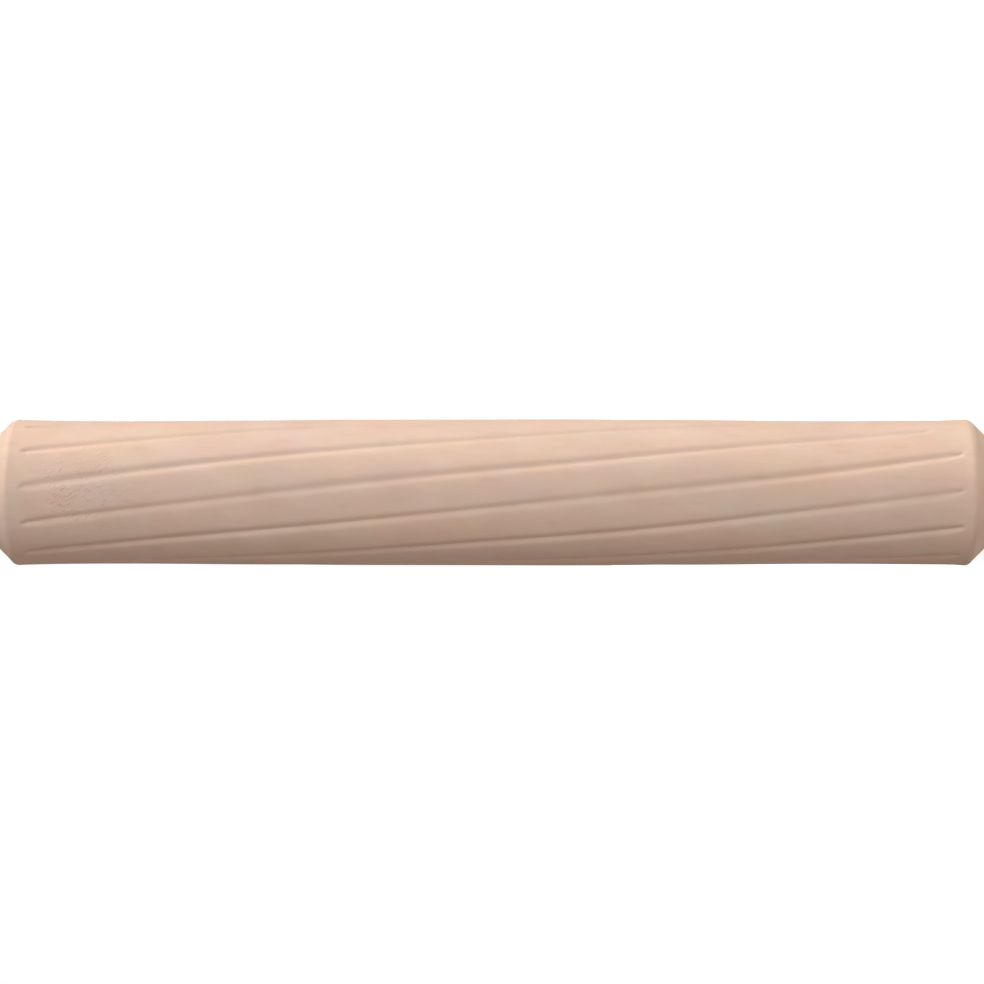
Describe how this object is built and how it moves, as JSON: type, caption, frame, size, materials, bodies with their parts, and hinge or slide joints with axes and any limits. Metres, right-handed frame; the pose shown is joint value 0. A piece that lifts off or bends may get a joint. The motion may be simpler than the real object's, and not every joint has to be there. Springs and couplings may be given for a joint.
{
  "type": "dowel pin",
  "caption": "Light hardwood dowel pin: a straight round rod with chamfered ends and shallow spiral glue grooves, for joining and locating furniture panels.",
  "frame": {"origin": "centre of the lower end face, on which the pin stands", "axes": "+Z along the pin from the lower end face to the upper one, +X and +Y square to it"},
  "size_m": [0.006, 0.0058, 0.04],
  "materials": {
    "beech": "smooth unfinished light hardwood, satin from the press rollers"
  },
  "bodies": {
    "root": {"dowel_pin": "beech"}
  },
  "joints": []
}
